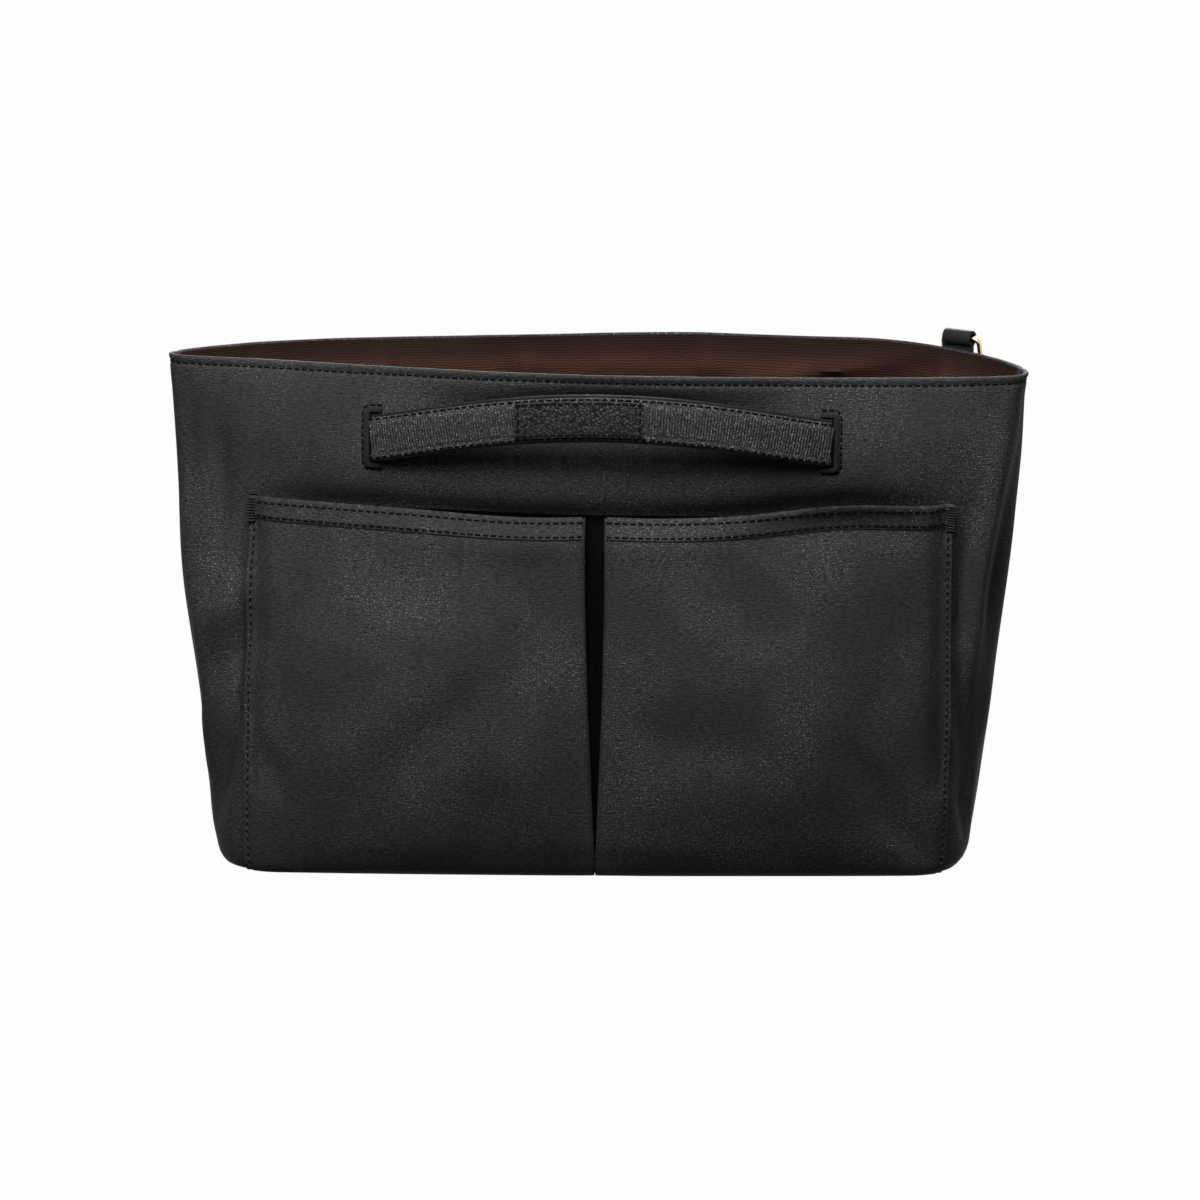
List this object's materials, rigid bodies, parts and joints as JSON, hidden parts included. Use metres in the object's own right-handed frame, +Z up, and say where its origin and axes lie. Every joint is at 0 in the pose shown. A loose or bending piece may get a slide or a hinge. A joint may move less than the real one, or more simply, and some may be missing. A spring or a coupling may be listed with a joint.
{
  "type": "purse organizer insert",
  "caption": "Soft open-topped handbag insert of black coated canvas with a ribbed brown lining, pleated front pockets, bowed strap handles and a wire D-ring at the rim.",
  "frame": {"origin": "middle of the base's underside", "axes": "+X to the right along the length, +Y to the back, +Z up; the pockets and the patched handle face -Y"},
  "size_m": [0.3452, 0.1232, 0.2154],
  "materials": {
    "canvas": "coated canvas, soft gloss",
    "lining": "ribbed faille, matte",
    "board": "pressed fibre board",
    "stiffener": "felted interlining",
    "strap": "smooth coated strap",
    "webbing": "grosgrain webbing",
    "leather": "pebbled leather",
    "brass": "pale polished wire"
  },
  "bodies": {
    "insert": {"outer_base": "canvas", "base_board": "board", "base_lining": "lining", "outer_front_panel": "canvas", "outer_back_panel": "canvas", "front_stiffener": "stiffener", "back_stiffener": "stiffener", "front_lining": "lining", "back_lining": "lining", "front_slip_pocket": "lining", "back_slip_pocket": "lining", "front_pocket_left": "canvas", "front_pocket_right": "canvas", "front_pocket_hem_left": "canvas", "front_pocket_hem_right": "canvas", "front_handle_end_left": "strap", "front_webbing_end_left": "webbing", "front_slot_welt_left": "strap", "front_handle_end_right": "strap", "front_webbing_end_right": "webbing", "front_slot_welt_right": "strap", "back_handle_end_left": "strap", "back_webbing_end_left": "webbing", "back_slot_welt_left": "strap", "back_handle_end_right": "strap", "back_webbing_end_right": "webbing", "back_slot_welt_right": "strap", "ring_tab": "strap"},
    "front_handle": {"front_handle_strap": "strap", "front_handle_webbing": "webbing", "handle_patch": "leather"},
    "back_handle": {"back_handle_strap": "strap", "back_handle_webbing": "webbing"},
    "ring": {"d_ring": "brass"}
  },
  "joints": [
    {"name": "front_handle_swing", "type": "hinge", "parent": "insert", "child": "front_handle", "pos_m": [0.00066, -0.03809, 0.1785], "axis": [-0.9953, 0.0973, 0], "range_deg": [-55, 22]},
    {"name": "back_handle_swing", "type": "hinge", "parent": "insert", "child": "back_handle", "pos_m": [0.00646, 0.03732, 0.1785], "axis": [0.9994, -0.0346, 0], "range_deg": [-55, 22]},
    {"name": "ring_swing", "type": "hinge", "parent": "insert", "child": "ring", "pos_m": [0.14657, 0.00984, 0.21213], "axis": [0.8464, -0.5325, 0.0003], "range_deg": [0, 295]}
  ]
}
